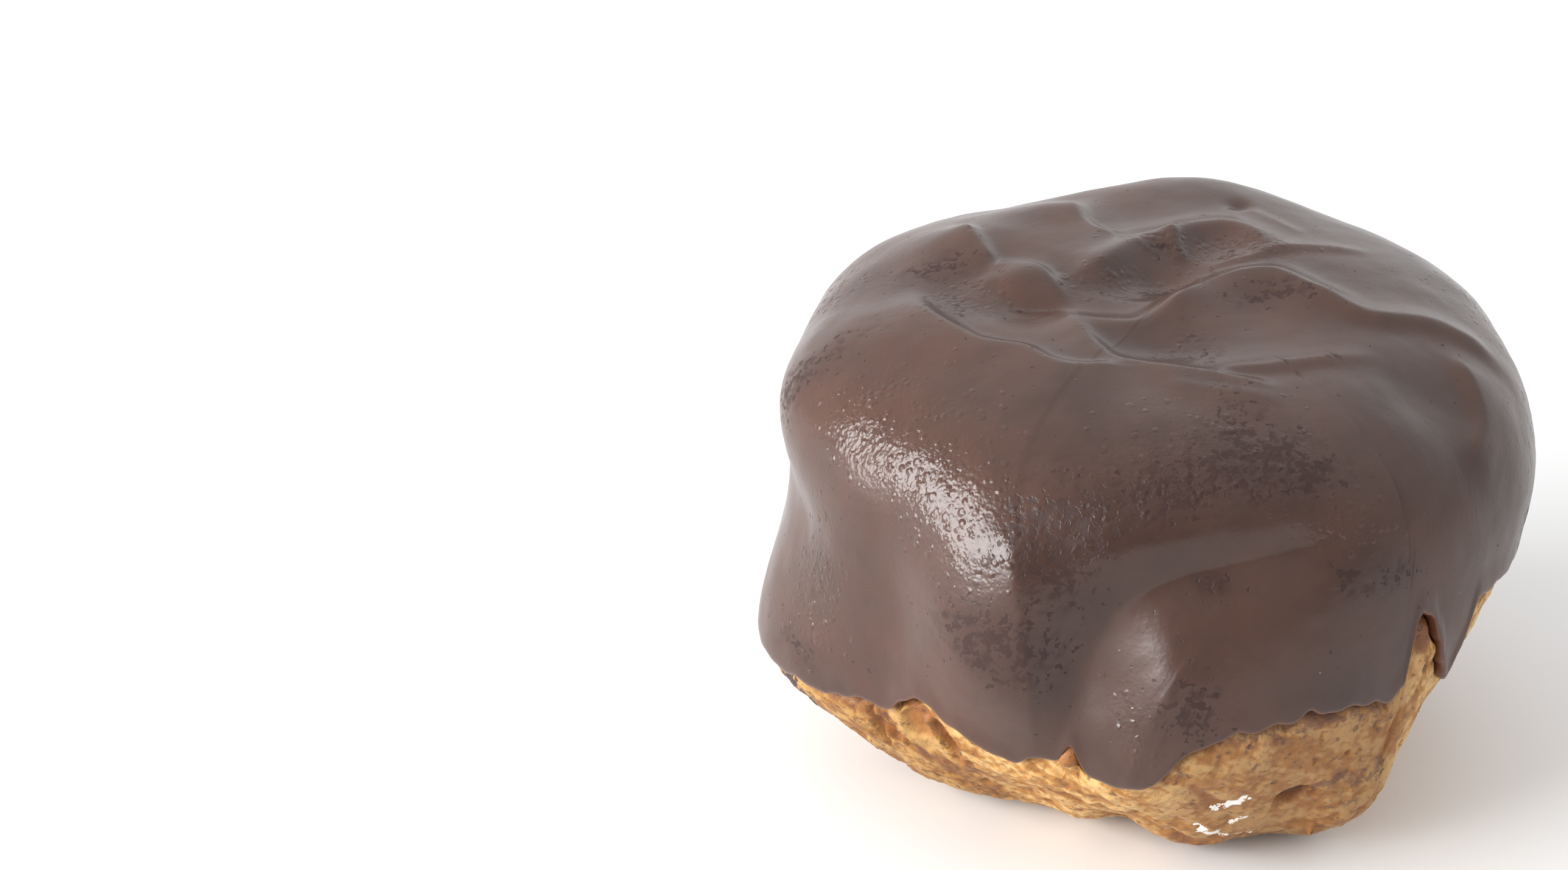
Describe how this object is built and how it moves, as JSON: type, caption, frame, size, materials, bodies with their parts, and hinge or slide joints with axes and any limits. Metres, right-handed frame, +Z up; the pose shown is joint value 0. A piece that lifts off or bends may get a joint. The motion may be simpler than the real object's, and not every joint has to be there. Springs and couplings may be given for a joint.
{
  "type": "chocolate-covered choux bun",
  "caption": "Large round choux bun capped with a folded, dripping chocolate coat over a craggy golden base, resting on its flat underside.",
  "frame": {"origin": "middle of the bun's flat underside", "axes": "+Z up, -Y towards the front that the picture shows, +X to the right seen from the front"},
  "size_m": [0.1043, 0.1021, 0.0697],
  "materials": {
    "choux": "matt, craggy golden crust of baked choux pastry with pores and browner ridges",
    "chocolate": "satin set chocolate glaze, brown with a grey sheen, fine pits and droplets"
  },
  "bodies": {
    "root": {"choux": "choux", "chocolate": "chocolate"}
  },
  "joints": []
}
